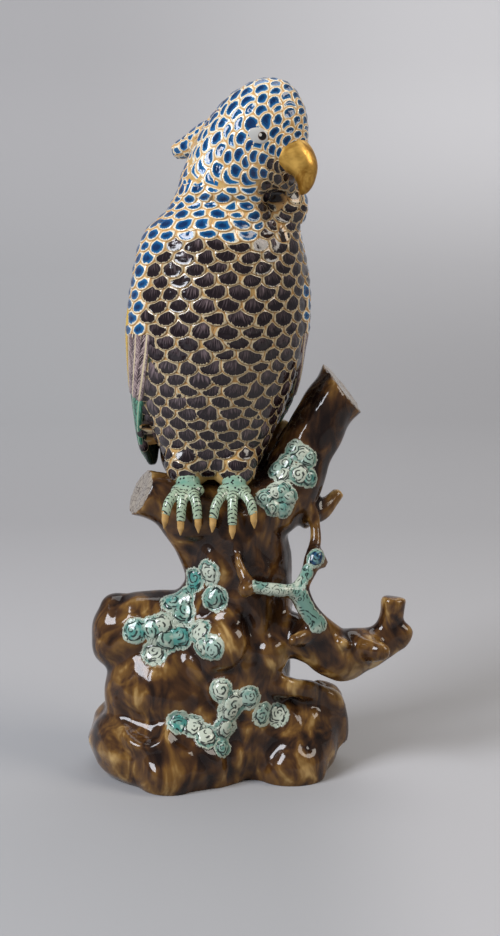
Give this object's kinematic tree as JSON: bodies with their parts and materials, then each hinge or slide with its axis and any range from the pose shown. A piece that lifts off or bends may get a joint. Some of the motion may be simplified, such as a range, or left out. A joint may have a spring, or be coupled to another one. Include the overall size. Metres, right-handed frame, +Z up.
{
  "type": "parrot figurine",
  "caption": "Glazed porcelain parrot with moulded feathers, perched on a knotted tree stump with a broken limb, a forked twig and a low branch.",
  "frame": {"origin": "middle of the figure's bounding box, on the table", "axes": "+Z up; the breast faces -Y, turned a little towards +X, and the head looks towards +X"},
  "size_m": [0.1432, 0.0832, 0.297],
  "materials": {
    "glazed_porcelain": "glossy fired glaze, brown on the stump and coloured enamels on the bird"
  },
  "bodies": {
    "root": {"parrot_figurine": "glazed_porcelain"}
  },
  "joints": []
}
